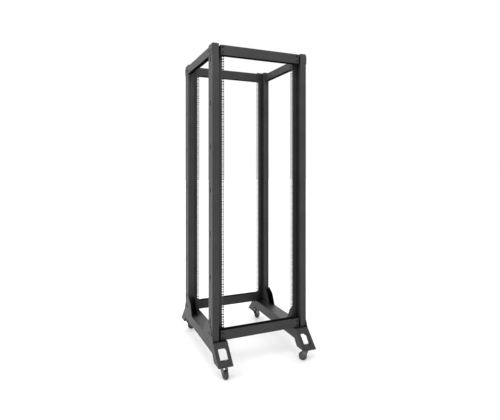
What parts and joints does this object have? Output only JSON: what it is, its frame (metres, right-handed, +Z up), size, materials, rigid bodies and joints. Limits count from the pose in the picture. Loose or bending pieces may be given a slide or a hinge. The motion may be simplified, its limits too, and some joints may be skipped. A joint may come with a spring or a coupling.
{
  "type": "network server rack",
  "caption": "Open-frame equipment rack: box posts with square-hole rails, channel cross beams and two channel legs with hand windows, standing on swivel castors.",
  "frame": {"origin": "on the floor, under the middle of the rack", "axes": "+Z up, -Y towards the front, +X to the right seen from the front"},
  "size_m": [0.6328, 0.8484, 1.9002],
  "materials": {
    "frame_coating": "matt powder coat, fine texture",
    "black_fasteners": "black oxide, satin",
    "zinc_fasteners": "zinc plate",
    "castor_metal": "dark zinc-plated pressed steel",
    "ball_steel": "polished",
    "wheel_rubber": "matt rubber",
    "wheel_nylon": "dark grey, moulded, satin"
  },
  "bodies": {
    "root": {"front_left_post": "frame_coating", "front_right_post": "frame_coating", "rear_left_post": "frame_coating", "rear_right_post": "frame_coating", "top_front_beam": "frame_coating", "top_rear_beam": "frame_coating", "top_left_beam": "frame_coating", "top_right_beam": "frame_coating", "bottom_front_beam": "frame_coating", "bottom_rear_beam": "frame_coating", "left_leg": "frame_coating", "right_leg": "frame_coating", "beam_bolts": "black_fasteners", "beam_nuts": "black_fasteners", "leg_bolts": "black_fasteners", "leg_rivet_nuts": "black_fasteners", "castor_screws": "zinc_fasteners", "castor_nuts": "zinc_fasteners", "front_left_castor_plate": "castor_metal", "front_right_castor_plate": "castor_metal", "rear_left_castor_plate": "castor_metal", "rear_right_castor_plate": "castor_metal", "front_left_castor_king_pin": "castor_metal", "front_right_castor_king_pin": "castor_metal", "rear_left_castor_king_pin": "castor_metal", "rear_right_castor_king_pin": "castor_metal"},
    "front_left_swivel": {"front_left_castor_balls": "ball_steel", "front_left_castor_fork": "castor_metal", "front_left_castor_axle": "castor_metal"},
    "front_left_wheel": {"front_left_wheel_core": "wheel_nylon", "front_left_wheel_tyre": "wheel_rubber"},
    "front_right_swivel": {"front_right_castor_balls": "ball_steel", "front_right_castor_fork": "castor_metal", "front_right_castor_axle": "castor_metal"},
    "front_right_wheel": {"front_right_wheel_core": "wheel_nylon", "front_right_wheel_tyre": "wheel_rubber"},
    "rear_left_swivel": {"rear_left_castor_balls": "ball_steel", "rear_left_castor_fork": "castor_metal", "rear_left_castor_axle": "castor_metal"},
    "rear_left_wheel": {"rear_left_wheel_core": "wheel_nylon", "rear_left_wheel_tyre": "wheel_rubber"},
    "rear_right_swivel": {"rear_right_castor_balls": "ball_steel", "rear_right_castor_fork": "castor_metal", "rear_right_castor_axle": "castor_metal"},
    "rear_right_wheel": {"rear_right_wheel_core": "wheel_nylon", "rear_right_wheel_tyre": "wheel_rubber"}
  },
  "joints": [
    {"name": "front_left_castor_swivel", "type": "hinge", "parent": "root", "child": "front_left_swivel", "pos_m": [-0.269, -0.379, 0.065], "axis": [0, 0, 1], "continuous": true},
    {"name": "front_left_wheel_spin", "type": "hinge", "parent": "front_left_swivel", "child": "front_left_wheel", "pos_m": [-0.26553, -0.3987, 0.025], "axis": [0.9848, 0.1736, 0], "continuous": true},
    {"name": "front_right_castor_swivel", "type": "hinge", "parent": "root", "child": "front_right_swivel", "pos_m": [0.269, -0.379, 0.065], "axis": [0, 0, 1], "continuous": true},
    {"name": "front_right_wheel_spin", "type": "hinge", "parent": "front_right_swivel", "child": "front_right_wheel", "pos_m": [0.25204, -0.3684, 0.025], "axis": [-0.5299, -0.848, 0], "continuous": true},
    {"name": "rear_left_castor_swivel", "type": "hinge", "parent": "root", "child": "rear_left_swivel", "pos_m": [-0.269, 0.379, 0.065], "axis": [0, 0, 1], "continuous": true},
    {"name": "rear_left_wheel_spin", "type": "hinge", "parent": "rear_left_swivel", "child": "rear_left_wheel", "pos_m": [-0.24968, 0.38418, 0.025], "axis": [-0.2588, 0.9659, 0], "continuous": true},
    {"name": "rear_right_castor_swivel", "type": "hinge", "parent": "root", "child": "rear_right_swivel", "pos_m": [0.269, 0.379, 0.065], "axis": [0, 0, 1], "continuous": true},
    {"name": "rear_right_wheel_spin", "type": "hinge", "parent": "rear_right_swivel", "child": "rear_right_wheel", "pos_m": [0.28632, 0.389, 0.025], "axis": [-0.5, 0.866, 0], "continuous": true}
  ]
}
